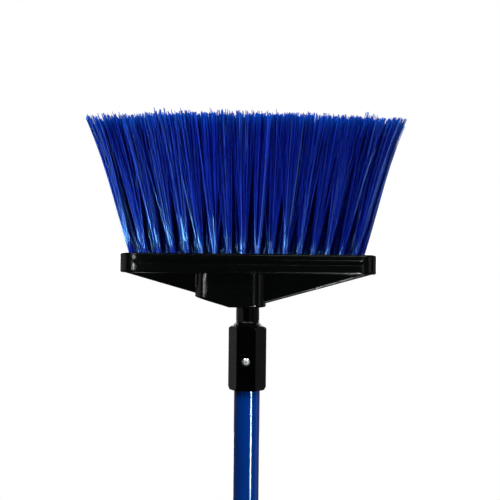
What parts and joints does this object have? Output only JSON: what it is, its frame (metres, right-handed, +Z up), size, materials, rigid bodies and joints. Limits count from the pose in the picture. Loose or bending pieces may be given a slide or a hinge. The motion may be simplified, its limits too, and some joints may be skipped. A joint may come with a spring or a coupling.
{
  "type": "upright broom",
  "caption": "Upright sweeping broom: flared bristles in a moulded block with a straight and an angled threaded socket, on a screw-in tube handle with a swivel hanger.",
  "frame": {"origin": "on the handle's axis, in the plane of the block's underside", "axes": "+Z up along the handle's axis to the tips of the bristles, +X along the block with the angled socket on the -X side, +Y across the block"},
  "size_m": [0.3098, 0.0682, 1.422],
  "materials": {
    "head_plastic": "black moulded plastic, satin",
    "bristle": "blue polyester filament",
    "anchor_wire": "plated flat wire",
    "tip_nylon": "black nylon, fine texture",
    "handle_blue": "blue glass-fibre tube, gloss",
    "rivet_metal": "bright",
    "mandrel_steel": "broken steel stub",
    "plug_plastic": "black moulded plastic",
    "hanger_plastic": "black moulded plastic",
    "clip_steel": "spring steel"
  },
  "bodies": {
    "head": {"head_block": "head_plastic", "tuft_row_1": "bristle", "tuft_row_2": "bristle", "tuft_row_3": "bristle", "tuft_row_4": "bristle", "tuft_row_5": "bristle", "tuft_anchors": "anchor_wire"},
    "hanger": {"hanger": "hanger_plastic", "hanger_clip": "clip_steel"},
    "handle": {"threaded_tip": "tip_nylon", "handle_tube": "handle_blue", "rivet_sleeve": "rivet_metal", "rivet_mandrel": "mandrel_steel", "end_plug": "plug_plastic"}
  },
  "joints": [
    {"name": "handle_advance", "type": "slide", "parent": "head", "child": "hanger", "axis": [0, 0, -1], "range_m": [0, 0.0254]},
    {"name": "handle_turn", "type": "hinge", "parent": "hanger", "child": "handle", "pos_m": [0, 0, 0], "axis": [0, 0, -1], "range_deg": [0, 1800]}
  ],
  "couplings": [
    {"joint": "handle_advance", "follows": "handle_turn", "m_per_rad": 0.00080851}
  ]
}
